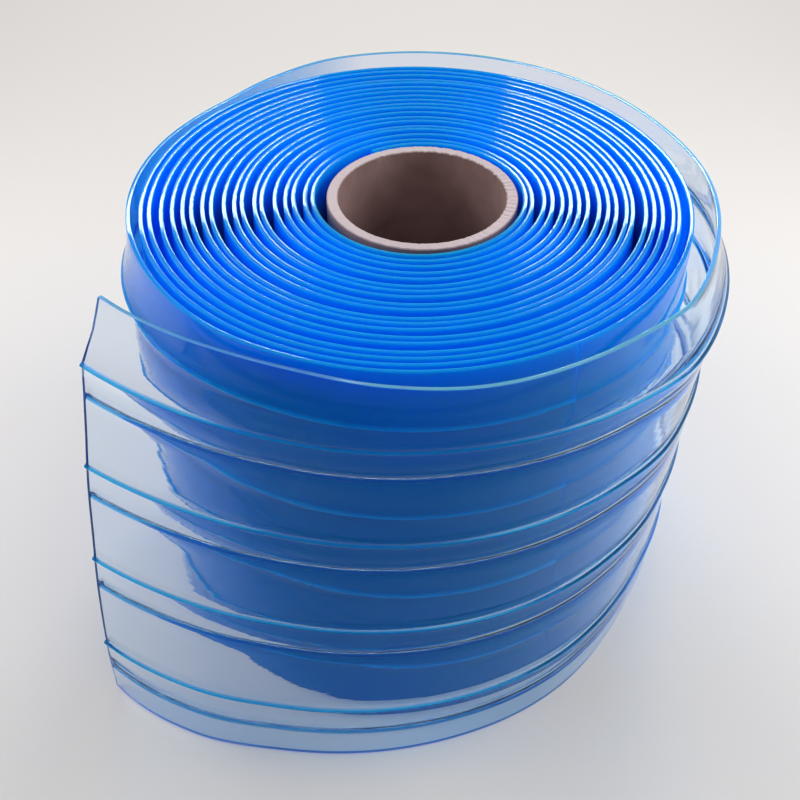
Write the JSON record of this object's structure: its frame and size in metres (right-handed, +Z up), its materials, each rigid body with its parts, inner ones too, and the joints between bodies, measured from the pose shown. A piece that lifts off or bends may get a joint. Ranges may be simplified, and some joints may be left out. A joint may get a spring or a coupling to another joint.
{
  "type": "pvc door curtain",
  "caption": "Roll of clear blue-tinted ribbed PVC curtain strip on a cardboard core, standing on its edge, with a loose outer turn and a peeled free end.",
  "frame": {"origin": "on the floor, under the middle of the whole roll's outline with its free end; the core's axis is 4.6 mm along +X and 6.6 mm along +Y from it", "axes": "+Z up along the core's axis; +X to the right and +Y to the back, as the picture shows the roll"},
  "size_m": [0.2916, 0.3026, 0.2],
  "materials": {
    "pvc_wound": "clear blue-tinted PVC, many turns deep, glossy",
    "pvc_single": "clear blue-tinted PVC, one layer, glossy",
    "cardboard": "spiral-wound grey-brown board, matt"
  },
  "bodies": {
    "roll": {"wound_strip": "pvc_wound", "loose_turn": "pvc_single"},
    "free_end": {"free_end": "pvc_single"},
    "core": {"core_tube": "cardboard"}
  },
  "joints": [
    {"name": "free_end_swing", "type": "hinge", "parent": "roll", "child": "free_end", "pos_m": [-0.08758, -0.14766, 0.00073], "axis": [0.0518, 0.1976, 0.9789], "range_deg": [0, 35], "stiffness_Nm_per_rad": 0.03},
    {"name": "core_slide", "type": "slide", "parent": "roll", "child": "core", "axis": [0, 0, 1], "range_m": [0, 0.2]}
  ]
}
